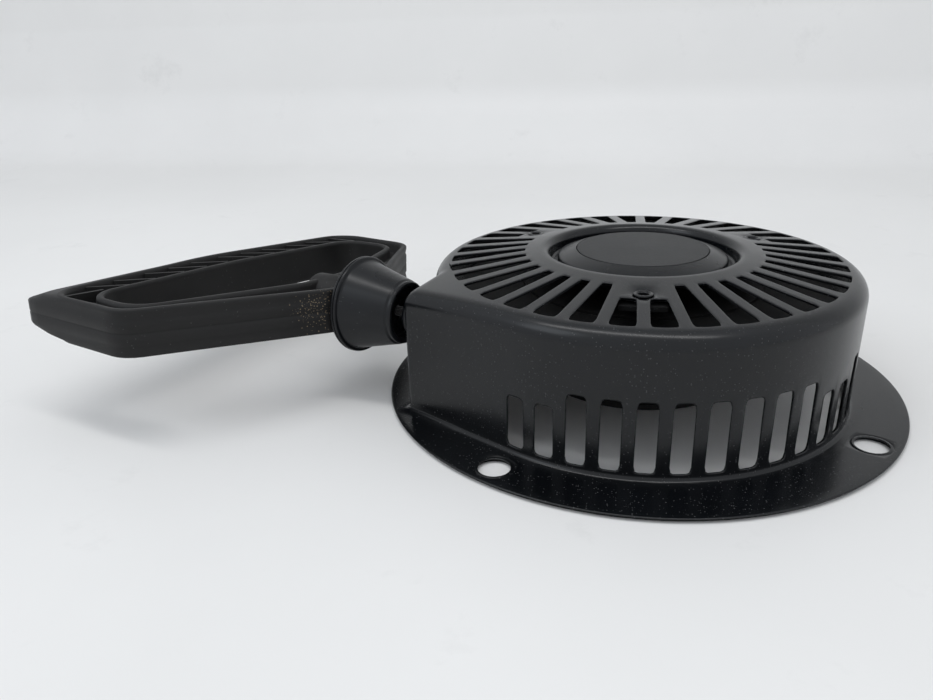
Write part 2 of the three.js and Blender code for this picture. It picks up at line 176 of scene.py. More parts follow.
RIVET_ANGLES = (-90.0, 30.0, 150.0)
RIVET_CIRCLE = 48.2
RIVET_HOLE_R = 2.5
HOLE_ANGLES = (-120, -30, 60, 150)
SIDE_SLOT_FIRST = -120  # centre of the slot next to the outlet, in degrees
SIDE_SLOT_STEP = 8
SIDE_SLOT_COUNT = 39
SHORT_EVERY = 10  # the first two of every ten side slots are short
RIM_R = 36.5  # where the cone turns down into the recess
RECESS_R = 33.5
RECESS_Z = 47.6
OUTLET_END = 60.8  # end wall of the rope outlet, along the rope
FRONT_NORMAL = 79.83  # direction that the outlet's front wall faces, from the rope's direction
OUTLET_CORNER = 47.5  # the outlet's corner, in degrees from the rope's direction
CORNER_SPAN = 16.0  # reach of the wider fillet to each side of that corner
RIVET_DIMPLE = 0.8  # depth of the dimple round a rivet
RIM_FILLET = 3.0
WEAR_COLOUR = (0.10, 0.10, 0.105)
DUST_SCALE, DUST_SHARE = 1700.0, 0.15
SAND_SCALE, SAND_SHARE = 1500.0, 0.55
SAND_NEAR, SAND_FAR = 0.003, 0.013  # metres from the sand's place, from thickest to none
ROPE_PITCH = 3.2  # length of rope for one turn of its braid


# ---- Small helpers ----
def smooth_min(a, b, width):
    blend = max(width - abs(a - b), 0.0) / width
    return min(a, b) - blend * blend * width / 4


def smooth_max(a, b, width):
    return -smooth_min(-a, -b, width)


def cone_z(r):
    return CROWN_Z - sizes().cone_slope * (r - RIM_R)


def signed(degrees):
    """The same direction, from -180 up to 180 degrees."""
    return (degrees + 180) % 360 - 180


def polar(r, degrees):
    return r * math.cos(math.radians(degrees)), r * math.sin(math.radians(degrees))


def smoothstep(t):
    t = min(max(t, 0.0), 1.0)
    return t * t * (3 - 2 * t)


def add_object(name, data):
    obj = bpy.data.objects.new(name, data)
    bpy.context.scene.collection.objects.link(obj)
    return obj


def new_object(name, vertices, faces):
    """A mesh from points in millimetres round the axis, with doubles merged and smooth shading."""
    mesh = bpy.data.meshes.new(name)
    points = (np.array(vertices, float) + AXIS) * MM
    mesh.from_pydata([tuple(p) for p in points], [], faces)
    bm = bmesh.new()
    bm.from_mesh(mesh)
    bmesh.ops.remove_doubles(bm, verts=bm.verts, dist=2e-6)
    bmesh.ops.dissolve_degenerate(bm, edges=bm.edges, dist=1e-7)
    bmesh.ops.recalc_face_normals(bm, faces=bm.faces)
    for face in bm.faces:
        face.smooth = True
    bm.to_mesh(mesh)
    bm.free()
    return add_object(name, mesh)


def apply_modifiers(obj):
    """Replaces the mesh by its evaluated form and clears the modifiers."""
    depsgraph = bpy.context.evaluated_depsgraph_get()
    mesh = bpy.data.meshes.new_from_object(obj.evaluated_get(depsgraph), depsgraph=depsgraph)
    obj.modifiers.clear()
    obj.data = mesh


def add_turned(vertices, faces, profile, segments):
    """Turns a profile of [radius, height] round the axis; a radius of 0 closes it there."""
    start, count = len(vertices), len(profile)
    for i in range(segments):
        cos, sin = polar(1.0, 360 * i / segments)
        vertices += [(r * cos, r * sin, h) for r, h in profile]
        for k in range(count - 1):
            a, b = start + i * count + k, start + (i + 1) % segments * count + k
            faces.append((a, b, b + 1, a + 1))


def lathe(name, profile, segments=128, place=None):
    """A turned piece, round the pulley's axis or round the line that place(along, side, up) gives."""
    vertices, faces = [], []
    add_turned(vertices, faces, profile, segments)
    if place:
        vertices = [place(h, x, y) for x, y, h in vertices]
    return new_object(name, vertices, faces)


def rope_point(along, side, up):
    """A point given along the rope, sideways towards the housing's front, and up from the rope."""
    return tuple(ROPE_DIR * along + SIDE_DIR * (ROPE_OFFSET + side) + np.array([0, 0, ROPE_Z + up]))


def fillet(profile, radii, steps=4):
    """Rounds the corners of an open profile; radii holds one radius for each corner."""
    result = [profile[0]]
    for before, corner, after, radius in zip(profile, profile[1:], profile[2:], radii):
        if radius <= 0:
            result.append(corner)
            continue
        result += corner_arc(before, corner, after, radius, steps)
    result.append(profile[-1])
    return result


def corner_arc(before, corner, after, radius, steps):
    before, corner, after = (np.array(p, float) for p in (before, corner, after))
    to_before = (before - corner) / np.linalg.norm(before - corner)
    to_after = (after - corner) / np.linalg.norm(after - corner)
    half = math.acos(np.clip(to_before @ to_after, -1, 1)) / 2
    if half > math.pi / 2 - 1e-3:
        return [tuple(corner)] * (steps + 1)
    setback = radius / math.tan(half)
    middle = (to_before + to_after) / np.linalg.norm(to_before + to_after)
    centre = corner + middle * radius / math.sin(half)
    start = corner + to_before * setback - centre
    end = corner + to_after * setback - centre
    sweep = math.pi - 2 * half
    points = []
    for i in range(steps + 1):
        t = i / steps
        a = math.sin((1 - t) * sweep) / math.sin(sweep)
        b = math.sin(t * sweep) / math.sin(sweep)
        points.append(tuple(centre + a * start + b * end))
    return points


def rounded_loop(corners, radii, counts, arc_steps=16):
    """A closed outline with rounded corners. Side i has counts[i] steps, from corner i to corner i + 1."""
    size = len(corners)
    arcs = [
        corner_arc(corners[i - 1], corners[i], corners[(i + 1) % size], radii[i], arc_steps)
        for i in range(size)
    ]
    loop = []
    for i in range(size):
        path = np.array(arcs[i][arc_steps // 2:] + arcs[(i + 1) % size][: arc_steps // 2 + 1])
        lengths = np.concatenate([[0], np.cumsum(np.linalg.norm(np.diff(path, axis=0), axis=1))])
        wanted = np.linspace(0, lengths[-1], counts[i] + 1)[:-1]
        loop += [(np.interp(w, lengths, path[:, 0]), np.interp(w, lengths, path[:, 1])) for w in wanted]
    return loop


# ---- Material building ----
class Tree:
    """Short calls to add and join nodes in a tree. Where inputs are given, they are a map from an input's
    name or number to a value or to the socket that feeds it."""

    def __init__(self, tree):
        self.tree = tree

    def fill(self, node, inputs):
        for label, source in inputs.items():
            if isinstance(source, bpy.types.NodeSocket):
                self.tree.links.new(source, node.inputs[label])
            else:
                node.inputs[label].default_value = source

    def node(self, kind, inputs=None, **settings):
        made = self.tree.nodes.new(kind)
        for key, value in settings.items():
            setattr(made, key, value)
        self.fill(made, inputs or {})
        return made

    def math(self, operation, a, b=0.0, clamp=False):
        return self.node("ShaderNodeMath", {0: a, 1: b}, operation=operation, use_clamp=clamp).outputs[0]

    def noise(self, place, scale, detail=4.0, roughness=0.55):
        inputs = {"Vector": place, "Scale": scale, "Detail": detail, "Roughness": roughness}
        return self.node("ShaderNodeTexNoise", inputs).outputs["Fac"]

    def ramp(self, source, low, high, start=0.0, end=1.0):
        inputs = {"Value": source, "From Min": low, "From Max": high, "To Min": start, "To Max": end}
        return self.node("ShaderNodeMapRange", inputs, clamp=True).outputs[0]

    def mix(self, factor, a, b):
        return self.node("ShaderNodeMix", {0: factor, 6: a, 7: b}, data_type="RGBA").outputs[2]

    def bump(self, height, depth):
        """A normal for relief of a depth in millimetres."""
        inputs = {"Strength": 1.0, "Distance": depth * MM, "Height": height}
        return self.node("ShaderNodeBump", inputs).outputs[0]

    def group(self, name, **inputs):
        return self.node("ShaderNodeGroup", inputs, node_tree=GROUPS[name]).outputs


def node_group(name, numbers, outputs):
    """A shader group with a Vector and named numbers: its tree and its given sockets."""
    group = bpy.data.node_groups.new(name, "ShaderNodeTree")
    group.interface.new_socket("Vector", in_out="INPUT", socket_type="NodeSocketVector")
    for label, default in numbers.items():
        socket = group.interface.new_socket(label, in_out="INPUT", socket_type="NodeSocketFloat")
        socket.default_value = default
    for label in outputs:
        group.interface.new_socket(label, in_out="OUTPUT", socket_type="NodeSocketFloat")
    t = Tree(group)
    return t, t.node("NodeGroupInput").outputs


def specks_group():
    """Small separate grains of dust: Scale sets their size and Amount the share of the surface."""
    t, given = node_group("Dust specks", {"Scale": 900.0, "Amount": 0.3}, ["Mask"])
    inputs = {"Vector": given["Vector"], "Scale": given["Scale"]}
    cells = t.node("ShaderNodeTexVoronoi", inputs, feature="F1").outputs
    chosen = t.node("ShaderNodeSeparateColor", {0: cells["Color"]}).outputs
    patch = t.noise(given["Vector"], 28.0, 3.0)
    level = t.math("MULTIPLY", given["Amount"], t.ramp(patch, 0.35, 0.65, 0.25, 1.6))
    keep = t.math("LESS_THAN", chosen[0], level)
    reach = t.math("ADD", t.math("MULTIPLY", chosen[1], 0.28), 0.08)
    dot = t.math("LESS_THAN", cells["Distance"], reach)
    t.node("NodeGroupOutput", {"Mask": t.math("MULTIPLY", keep, dot)})
    return t.tree


def wear_group():
    """Light edges: the mask rises where the surface is sharply convex, broken up by noise."""
    t, given = node_group("Edge wear", {"Reach": 0.12, "Break": 180.0}, ["Mask"])
    pointed = t.node("ShaderNodeNewGeometry").outputs["Pointiness"]
    start = t.math("SUBTRACT", 0.62, given["Reach"])
    edge = t.ramp(pointed, start, t.math("ADD", start, 0.12))
    rough = t.ramp(t.noise(given["Vector"], given["Break"], 5.0), 0.45, 0.62)
    t.node("NodeGroupOutput", {"Mask": t.math("MULTIPLY", edge, rough)})
    return t.tree


def grain_group():
    """Fine relief, as orange peel in paint or spark texture in mouldings, and broad patches of tone."""
    t, given = node_group("Surface grain", {"Scale": 600.0, "Coarse": 0.3}, ["Height", "Tone"])
    fine = t.noise(given["Vector"], given["Scale"], 3.0, 0.6)
    wide = t.noise(given["Vector"], t.math("MULTIPLY", given["Scale"], 0.08), 3.0)
    height = t.math("ADD", fine, t.math("MULTIPLY", wide, given["Coarse"]))
    t.node("NodeGroupOutput", {"Height": height, "Tone": t.noise(given["Vector"], 22.0, 5.0)})
    return t.tree


GROUPS = {}
FINISHES = {}


def colour(rgb):
    return (*rgb, 1.0)


def new_finish(name):
    """Adds a material to the finishes: its tree, its Principled shader and its Object coordinates."""
    material = bpy.data.materials.new(name)
    material.use_nodes = True
    FINISHES[name] = material
    t = Tree(material.node_tree)
    place = t.node("ShaderNodeTexCoord").outputs["Object"]
    return t, material.node_tree.nodes["Principled BSDF"], place


def finish(name, base, rough, grain=(600.0, 0.3, 0.03), dust=0.0, wear=0.0, metal=0.0, tone=0.25, gloss=0.5,
           sand=None):
    """A finish: base colour, roughness range, relief (scale, coarse share, depth in mm), dust and wear.
    sand is a place, in millimetres round the axis, where loose sand has gathered."""
    t, shader, place = new_finish(name)
    relief = t.group("grain", Vector=place, Scale=grain[0], Coarse=grain[1])
    darker, lighter = (colour(tuple(c * share for c in base)) for share in (1 - tone, 1 + tone))
    shade = t.mix(t.ramp(relief["Tone"], 0.35, 0.65), darker, lighter)
    roughness = t.ramp(relief["Tone"], 0.3, 0.7, *rough)
    if wear:
        worn = t.group("wear", Vector=place, Reach=wear)["Mask"]
        shade = t.mix(worn, shade, colour(WEAR_COLOUR))
    if dust:
        specks = t.group("specks", Vector=place, Scale=DUST_SCALE, Amount=dust)["Mask"]
        shade = t.mix(t.math("MULTIPLY", specks, DUST_SHARE), shade, colour(colours().dust))
        roughness = t.math("ADD", roughness, t.math("MULTIPLY", specks, 0.3), clamp=True)
    if sand:
        inputs = {0: place, 1: (np.array(sand) + AXIS) * MM}
        away = t.node("ShaderNodeVectorMath", inputs, operation="DISTANCE").outputs["Value"]
        near = t.ramp(away, SAND_NEAR, SAND_FAR, 0.9, 0.0)
        grains = t.group("specks", Vector=place, Scale=SAND_SCALE, Amount=near)["Mask"]
        shade = t.mix(t.math("MULTIPLY", grains, SAND_SHARE), shade, colour(colours().sand))
    t.fill(shader, {"Base Color": shade, "Roughness": roughness, "Metallic": metal,
                    "Specular IOR Level": gloss, "Normal": t.bump(relief["Height"], grain[2])})


def rope_finish():
    """Braided cord: two sets of slanting strands, read from a map wrapped round the rope, with painted
    shade in the grooves between strands.
    """
    t, shader, _ = new_finish("Braided rope")
    wrap = t.node("ShaderNodeUVMap", uv_map="wrap").outputs[0]
    turned, along, _ = t.node("ShaderNodeSeparateXYZ", {0: wrap}).outputs
    turned = t.math("MULTIPLY", turned, 8.0)
    strands = [t.math("PINGPONG", t.math(sign, turned, along), 0.5)
               for sign in ("ADD", "SUBTRACT")]
    height = t.math("MULTIPLY", t.math("MAXIMUM", *strands), 2.0)
    # Painted shade: the grooves between strands are darkened to 0.35 of the rope's colour
    shade = t.mix(height, colour(tuple(c * 0.35 for c in colours().rope)), colour(colours().rope))
    t.fill(shader, {"Base Color": shade, "Roughness": 0.85, "Sheen Weight": 0.3,
                    "Normal": t.bump(height, 0.35)})


def dress(obj, finish_name, slot, body, *nodes):
    """Gives a finished piece its material and its body, and hides the CAD nodes that it stands for. The
    slot is not used.
    """
    obj.data.materials.clear()
    obj.data.materials.append(FINISHES[finish_name])
    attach(obj, body)
    if nodes:
        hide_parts(*nodes)
    return obj


class STARTER_OT_finishes(bpy.types.Operator):
    """Build the shared shader groups and every finish"""

    bl_idname = "starter.finishes"
    bl_label = "Finishes"

    def execute(self, context):
        GROUPS.update(specks=specks_group(), wear=wear_group(), grain=grain_group())
        c = colours()
        finish("Black paint", c.paint, (0.20, 0.28), (520.0, 0.5, 0.010), dust=0.18, wear=0.02, gloss=0.36)
        finish("Satin moulding", c.satin, (0.24, 0.34), (900.0, 0.3, 0.006), dust=0.05, gloss=0.3)
        finish("Textured disc", c.disc, (0.62, 0.75), (1500.0, 0.2, 0.20), dust=0.3, tone=0.1)
        finish("Grip rubber", c.rubber, (0.50, 0.66), (1300.0, 0.6, 0.03), dust=0.05, tone=0.3, gloss=0.3,
               sand=rope_point(GRIP_START + 4, 17, 3))
        finish("Nylon", c.nylon, (0.62, 0.75), (700.0, 0.3, 0.015), dust=0.25, gloss=0.12)
        # Painted shade: steel parts inside the housing get this dark finish, standing in for the shade
        # there
        finish("Inner painted shade", c.nylon, (0.50, 0.62), (520.0, 0.5, 0.010), dust=0.2, gloss=0.2)
        finish("Spring steel", (0.16, 0.16, 0.18), (0.28, 0.42), (500.0, 0.4, 0.008), metal=1.0)
        finish("Zinc steel", (0.46, 0.44, 0.38), (0.30, 0.48), (400.0, 0.6, 0.012), metal=1.0)
        rope_finish()
        return {"FINISHED"}


# ---- Housing: one pressed skin, thickened afterwards ----
def outline_radius(angle, back):
    """Distance from the axis to the pressing's wall at an angle, with the wall moved in by back."""
    circle = sizes().wall_r - back
    local = signed(angle - ROPE_ANGLE)
    if not 0 < local < FRONT_NORMAL:
        return circle
    end = (OUTLET_END - back) / math.cos(math.radians(local))
    front = circle / math.cos(math.radians(local - FRONT_NORMAL))
    outlet = smooth_min(end, front, 3.0)
    return smooth_max(circle, outlet, 2.0) if local < 58 else max(circle, outlet)


def ray_angle(ray):
    """Direction of a ray of the wall. Rays crowd together at the outlet's corner."""
    local = signed(ray - round(ROPE_ANGLE))
    if not 33 < local < 74:
        return ray
    warped = np.interp(local, (33, 43, 58, 74), (33, 44.6, 50.6, 74))
    return warped + ROPE_ANGLE


def wall_point(ray, back, z):
    angle = ray_angle(ray)
    return (*polar(outline_radius(angle, back), angle), z)


def fold_at(ray):
    """Fillet between wall and flange: wider round the outlet's corner."""
    away = abs(signed(ray_angle(ray) - ROPE_ANGLE) - OUTLET_CORNER)
    return sizes().fold_r + 2.4 * max(0.0, 1 - away / CORNER_SPAN) ** 0.5


def shoulder_point(ray, turn):
    """A point on the rolled top edge: turn runs from 0 at the wall to 1 at the cone."""
    s = sizes()
    lean = math.atan(s.cone_slope)
    angle = turn * (math.pi / 2 - lean)
    rim = outline_radius(ray_angle(ray), s.shoulder_r * (1 - math.sin(lean)))
    centre_z = cone_z(rim) - s.shoulder_r * math.cos(lean)
    back = s.shoulder_r * (1 - math.cos(angle))
    return wall_point(ray, back, centre_z + s.shoulder_r * math.sin(angle))


def top_height(x, y):
    """Height of the cone at a place, with a shallow dimple round each rivet."""
    r = math.hypot(x, y)
    z = cone_z(r)
    for angle in RIVET_ANGLES:
        rx, ry = polar(RIVET_CIRCLE, angle)
        z -= RIVET_DIMPLE * (1 - smoothstep((math.hypot(x - rx, y - ry) - 2.4) / 2.6))
    return z


LIP = ((0.0, 0.42), (0.12, 0.17), (0.3, 0.04), (0.55, 0.0))  # distance from a slot's edge, and drop


def add_band(vertices, faces, loop_a, loop_b):
    """Joins two closed loops of equal length by quads."""
    start = len(vertices)
    count = len(loop_a)
    vertices += loop_a + loop_b
    for i in range(count):
        j = (i + 1) % count
        faces.append((start + i, start + j, start + count + j, start + count + i))


def add_window(vertices, faces, outer, hole, lift, lip=LIP):
    """Surface between a panel's border and a hole in it, with the hole's edge turned down.
    Border and hole are flat loops of equal length, and lift(p, drop) puts a flat point in space."""
    rings = []
    for distance, drop in lip:
        ring = []
        for p, b in zip(hole, outer):
            way = np.array(b) - np.array(p)
            share = min(distance / np.linalg.norm(way), 0.5)
            ring.append(lift(np.array(p) + way * share, drop))
        rings.append(ring)
    for share in (0.55, 1.0):
        rings.append([lift(np.array(p) * (1 - share) + np.array(b) * share, 0.0)
                      for p, b in zip(hole, outer)])
    for inner, further in zip(rings, rings[1:]):
        add_band(vertices, faces, inner, further)


def grid(vertices, faces, rows):
    """Quads between rows of points of equal length."""
    start = len(vertices)
    width = len(rows[0])
    for row in rows:
        vertices += row
    for k in range(len(rows) - 1):
        for i in range(width - 1):
            a = start + k * width + i
            faces.append((a, a + 1, a + width + 1, a + width))


SIDE_LEVELS = 13  # steps along a sector's straight sides
RIVET_LEVELS = 5  # steps of those that a rivet's panel takes
TOP_START_R = 39.0


def top_edge_r():
    """Radius of the drum's cone where it meets the rolled edge."""
    s = sizes()
    return s.wall_r - s.shoulder_r * (1 - math.sin(math.atan(s.cone_slope)))


def top_sector_side(ray, first=0, last=SIDE_LEVELS):
    """Points in plan along a ray, between the start of the slotted band and the rolled edge."""
    step = (top_edge_r() - TOP_START_R) / SIDE_LEVELS
    return [polar(TOP_START_R + step * i, ray) for i in range(first, last + 1)]


def panel_border(start, end, first, last):
    """A panel of the top between two rays and two levels, as a closed loop in plan."""
    near, far = top_sector_side(start, first, last), top_sector_side(end, first, last)
    step = (top_edge_r() - TOP_START_R) / SIDE_LEVELS
    low, high = TOP_START_R + step * first, TOP_START_R + step * last
    border = [polar(low, ray) for ray in range(start, end)] + far[:-1]
    return border + [polar(high, ray) for ray in range(end, start, -1)] + near[:0:-1]


def add_top(vertices, faces):
    s = sizes()

    def lift(p, drop):
        return (p[0], p[1], top_height(p[0], p[1]) - drop)

    for first in range(0, 360, 10):
        middle = first + 5
        beside_rivet = any(abs(signed(middle - a)) < 6 for a in RIVET_ANGLES)
        inner_r = s.top_slot_short if beside_rivet else s.top_slot_in
        half = math.radians(5)
        shift = s.bar_width / 2 / math.cos(half)
        edge_in = inner_r * math.tan(half) - shift
        edge_out = s.top_slot_out * math.tan(half) - shift
        corners = [(inner_r, -edge_in), (inner_r, edge_in), (s.top_slot_out, edge_out),
                   (s.top_slot_out, -edge_out)]
        level = RIVET_LEVELS if beside_rivet else 0
        counts = (10, SIDE_LEVELS - level, 10, SIDE_LEVELS - level)
        round_in = min(0.75, edge_in * 0.8)
        flat = rounded_loop(corners, (round_in, round_in, 1.3, 1.3), counts)
        cos, sin = polar(1.0, middle)
        hole = [(x * cos - y * sin, x * sin + y * cos) for x, y in flat]
        add_window(vertices, faces, panel_border(first, first + 10, level, SIDE_LEVELS), hole, lift)
    for angle in map(int, RIVET_ANGLES):
        centre = np.array(polar(RIVET_CIRCLE, angle))
        border = panel_border(angle - 10, angle + 10, 0, RIVET_LEVELS)
        turns = [math.degrees(math.atan2(*(np.array(b) - centre)[::-1])) for b in border]
        hole = [centre + polar(RIVET_HOLE_R, turn) for turn in turns]
        add_window(vertices, faces, border, hole, lift, ((0.0, 0.35), (0.15, 0.1), (0.5, 0.0), (1.4, 0.0)))
    rows = []
    for share in (0.0, 0.3, 0.65, 1.0):
        row = []
        for ray in range(361):
            start, end = np.array(polar(top_edge_r(), ray)), np.array(shoulder_point(ray, 1.0)[:2])
            row.append(lift(start + (end - start) * share, 0.0))
        rows.append(row)
    grid(vertices, faces, rows)


def add_recess(vertices, faces):
    """From the slotted band in over the rim, down into the recess and across its floor."""
    rim_turn = math.atan(sizes().cone_slope)
    profile = [(TOP_START_R, cone_z(TOP_START_R)), (37.6, cone_z(37.6))]
    for i in range(9):
        angle = rim_turn + (math.pi / 2 - rim_turn) * i / 8
        profile.append((RIM_R - RIM_FILLET * math.sin(angle), CROWN_Z - RIM_FILLET * (1 - math.cos(angle))))
    profile += [(RECESS_R, 49.2), (RECESS_R - 0.15, 48.3), (RECESS_R - 0.7, 47.75),
                (RECESS_R - 1.5, RECESS_Z), (24.0, RECESS_Z), (12.0, RECESS_Z), (0.0, RECESS_Z)]
    rows = [[(*polar(r, ray), z) for ray in range(361)] for r, z in profile]
    grid(vertices, faces, rows)


def side_slot_centres():
    return [SIDE_SLOT_FIRST + SIDE_SLOT_STEP * i for i in range(SIDE_SLOT_COUNT)]


def add_wall(vertices, faces):
    s = sizes()
    low, high = s.fold_r + s.sheet, 33.0
    levels = [low + (high - low) * i / SIDE_LEVELS for i in range(SIDE_LEVELS + 1)]
    half = SIDE_SLOT_STEP // 2
    for index, centre in enumerate(side_slot_centres()):
        top = s.side_short if index % SHORT_EVERY < 2 else s.side_tall
        w = s.side_width / 2
        counts = (SIDE_SLOT_STEP, SIDE_LEVELS, SIDE_SLOT_STEP, SIDE_LEVELS)
        corners = [(-w, s.side_low), (w, s.side_low), (w, top), (-w, top)]
        hole = rounded_loop(corners, (1.4, 1.4, 1.6, 1.6), counts)
        per_degree = math.radians(1) * s.wall_r
        border = [(i * per_degree, low) for i in range(-half, half)]
        border += [(half * per_degree, z) for z in levels[:-1]]
        border += [(-i * per_degree, high) for i in range(-half, half)]
        border += [(-half * per_degree, z) for z in levels[:0:-1]]

        def lift(p, drop, centre=centre, per_degree=per_degree):
            angle = centre + p[0] / per_degree
            return (*polar(outline_radius(angle, drop), angle), p[1])

        add_window(vertices, faces, border, hole, lift)
    first_blind = side_slot_centres()[-1] + half
    last_blind = SIDE_SLOT_FIRST - half + 360
    blind = range(first_blind, last_blind + 1)
    grid(vertices, faces, [[wall_point(ray, 0.0, z) for ray in blind] for z in levels])
    rows = []
    for share in (0.0, 0.35, 0.7):
        rows.append([wall_point(ray, 0.0, high + (shoulder_point(ray, 0.0)[2] - high) * share)
                     for ray in range(361)])
    rows += [[shoulder_point(ray, turn / 10) for ray in range(361)] for turn in range(11)]
    grid(vertices, faces, rows)


def fold_point(ray, turn):
    """A point on the fillet at the wall's foot: turn runs from 0 at the wall to 1 at the flange."""
    radius = fold_at(ray)
    angle = turn * math.pi / 2
    rise = min(radius, sizes().fold_r)
    return wall_point(ray, -radius * (1 - math.cos(angle)), sizes().sheet + rise * (1 - math.sin(angle)))


def add_flange(vertices, faces):
    s = sizes()
    outer_r = FLANGE_R - 0.55
    steps = 5

    def side(ray):
        inner = np.array(fold_point(ray, 1.0)[:2])
        outer = np.array(polar(outer_r, ray_angle(ray)))
        return [inner + (outer - inner) * i / steps for i in range(steps + 1)]

    def lift(p, drop):
        return (p[0], p[1], s.sheet - drop)

    grid(vertices, faces, [[fold_point(ray, turn / 6) for ray in range(361)] for turn in range(7)])
    span = 6
    plain_from = [angle + span for angle in HOLE_ANGLES]
    plain_to = [angle - span for angle in HOLE_ANGLES[1:]] + [HOLE_ANGLES[0] - span + 360]
    for start, end in zip(plain_from, plain_to):
        rows = [side(ray) for ray in range(start, end + 1)]
        grid(vertices, faces, [[lift(p, 0) for p in row] for row in rows])
    ring_lip = ((0.0, 0.3), (0.12, 0.1), (0.35, 0.0), (0.95, 0.0), (1.15, 0.22), (1.4, 0.22), (1.65, 0.0))
    for angle in HOLE_ANGLES:
        rays = range(angle - span, angle + span + 1)
        centre = np.array(polar(s.hole_circle, angle))
        radial = np.array(polar(1.0, angle))
        tangent = np.array([-radial[1], radial[0]])
        r = s.hole_r
        corners = [(-r, -r), (-r, r), (r, r), (r, -r)]
        loop = rounded_loop(corners, (r * 0.999,) * 4, (2 * span, steps, 2 * span, steps))
        hole = [centre + radial * x + tangent * y for x, y in loop]
        near, far = side(rays[0]), side(rays[-1])
        border = [side(ray)[0] for ray in rays][:-1] + far[:-1]
        border += [side(ray)[-1] for ray in rays][:0:-1] + near[:0:-1]
        add_window(vertices, faces, border, hole, lift, ring_lip)
    edge = [(outer_r, s.sheet), (FLANGE_R - 0.25, s.sheet - 0.05), (FLANGE_R - 0.06, s.sheet - 0.2),
            (FLANGE_R, s.sheet - 0.4)]
    grid(vertices, faces, [[(*polar(r, ray_angle(ray)), z) for ray in range(361)] for r, z in edge])


class STARTER_OT_housing(bpy.types.Operator):
    """Build the pressed housing with its slots, rope outlet and flange"""

    bl_idname = "starter.housing"
    bl_label = "Housing"

    def execute(self, context):
        vertices, faces = [], []
        add_top(vertices, faces)
        add_recess(vertices, faces)
        add_wall(vertices, faces)
        add_flange(vertices, faces)
        housing = new_object("housing_pressing", vertices, faces)
        flange_faces = [p for p in housing.data.polygons if abs(p.normal.z) > 0.99 and p.center.z < 2 * MM]
        if flange_faces[0].normal.z < 0:
            housing.data.flip_normals()
        solid = housing.modifiers.new("Sheet", "SOLIDIFY")
        solid.thickness = (sizes().sheet - 0.02) * MM
        solid.offset = -1
        apply_modifiers(housing)
        dress(housing, "Black paint", "black_paint", "root", "housing_shell")
        return {"FINISHED"}


class STARTER_OT_cap(bpy.types.Operator):
    """Build the cap in the recess and the textured disc on it"""

    bl_idname = "starter.cap"
    bl_label = "Cap"

    def execute(self, context):
        seat = CAP_HIGH - 0.45  # where the disc lies in the cap
        profile = [(0.0, CAP_LOW), (CAP_R, CAP_LOW), (CAP_R, 50.5), (24.0, CAP_HIGH), (23.6, seat),
                   (0.0, seat)]
        cap = lathe("recess_cap", fillet(profile, (0.4, 1.4, 0.12, 0.1), 6), 160)
        dress(cap, "Satin moulding", "satin_plastic", "root", "center_cap")
        low = CAP_HIGH - 0.4
        disc_high = CAP_HIGH + 0.12  # proud of the cap, so that its edge shows
        profile = [(0.0, low), (23.55, low), (23.55, disc_high), (0.0, disc_high)]
        disc = lathe("cap_texture_disc", fillet(profile, (0.0, 0.14), 5), 160)
        dress(disc, "Textured disc", "textured_plastic", "root", "cap_disc")
        return {"FINISHED"}


def instance_tree(name, points, shape, turns=None):
    """A Geometry Nodes tree that sets a shape on each point, realised and given a material."""
    tree = bpy.data.node_groups.new(name, "GeometryNodeTree")
    kinds = {"Geometry": "Geometry", "Scale": "Float", "Finish": "Material", "Shape": "Object"}
    sockets = {label: tree.interface.new_socket(label, in_out="INPUT", socket_type="NodeSocket" + kind)
               for label, kind in kinds.items()}
    tree.interface.new_socket("Geometry", in_out="OUTPUT", socket_type="NodeSocketGeometry")
    t = Tree(tree)
    given = t.node("NodeGroupInput").outputs
    copied = t.node("GeometryNodeObjectInfo", {"Object": given["Shape"]}).outputs["Geometry"]
    turn = t.node("GeometryNodeInputNamedAttribute", {"Name": "turn"}, data_type="FLOAT_VECTOR")
    spread = t.node("GeometryNodeInstanceOnPoints", {
        "Points": given["Geometry"], "Instance": copied, "Rotation": turn.outputs["Attribute"],
        "Scale": given["Scale"]})
    real = t.node("GeometryNodeRealizeInstances", {0: spread.outputs[0]}).outputs[0]
    dressed = t.node("GeometryNodeSetMaterial", {"Geometry": real, "Material": given["Finish"]})
    t.node("NodeGroupOutput", {"Geometry": dressed.outputs[0]})
    carrier = bpy.data.meshes.new(name)
    carrier.from_pydata([tuple(p) for p in points], [], [])
    attribute = carrier.attributes.new("turn", "FLOAT_VECTOR", "POINT")
    attribute.data.foreach_set("vector", np.array(turns or [(0, 0, 0)] * len(points), float).ravel())
    obj = add_object(name, carrier)
    modifier = obj.modifiers.new(name, "NODES")
    modifier.node_group = tree
    for label, value in (("Finish", shape.data.materials[0]), ("Shape", shape), ("Scale", 1.0)):
        modifier[sockets[label].identifier] = value
    apply_modifiers(obj)
    bpy.data.objects.remove(shape)
    return obj


class STARTER_OT_rivets(bpy.types.Operator):
    """Set the three tubular rivets in the top"""

    bl_idname = "starter.rivets"
    bl_label = "Rivets"

    def execute(self, context):
        head = cone_z(RIVET_CIRCLE) - 0.35
        foot = box_mm("hub_rivet_1")[0][2]
        profile = [(1.6, foot), (3.5, foot), (3.5, foot + 0.8), (2.3, foot + 0.9), (2.3, head - 0.3),
                   (3.2, head - 0.25), (3.1, head + 0.2), (2.4, head + 0.35), (1.7, head - 0.1),
                   (1.6, foot)]
        rounded = fillet(profile, (0.2, 0.2, 0.1, 0.1, 0.1, 0.2, 0.3, 0.3), 4)
        shape = lathe("rivet_shape", rounded, 40)
        shape.data.transform(Matrix.Translation(Vector(-AXIS * MM)))
        shape.data.materials.append(FINISHES["Black paint"])
        points = [(np.array([*polar(RIVET_CIRCLE, a), 0]) + AXIS) * MM for a in RIVET_ANGLES]
        rivets = instance_tree("top_rivets", points, shape)
        dress(rivets, "Black paint", "black_paint", "root", "hub_rivet_1", "hub_rivet_2", "hub_rivet_3")
        return {"FINISHED"}


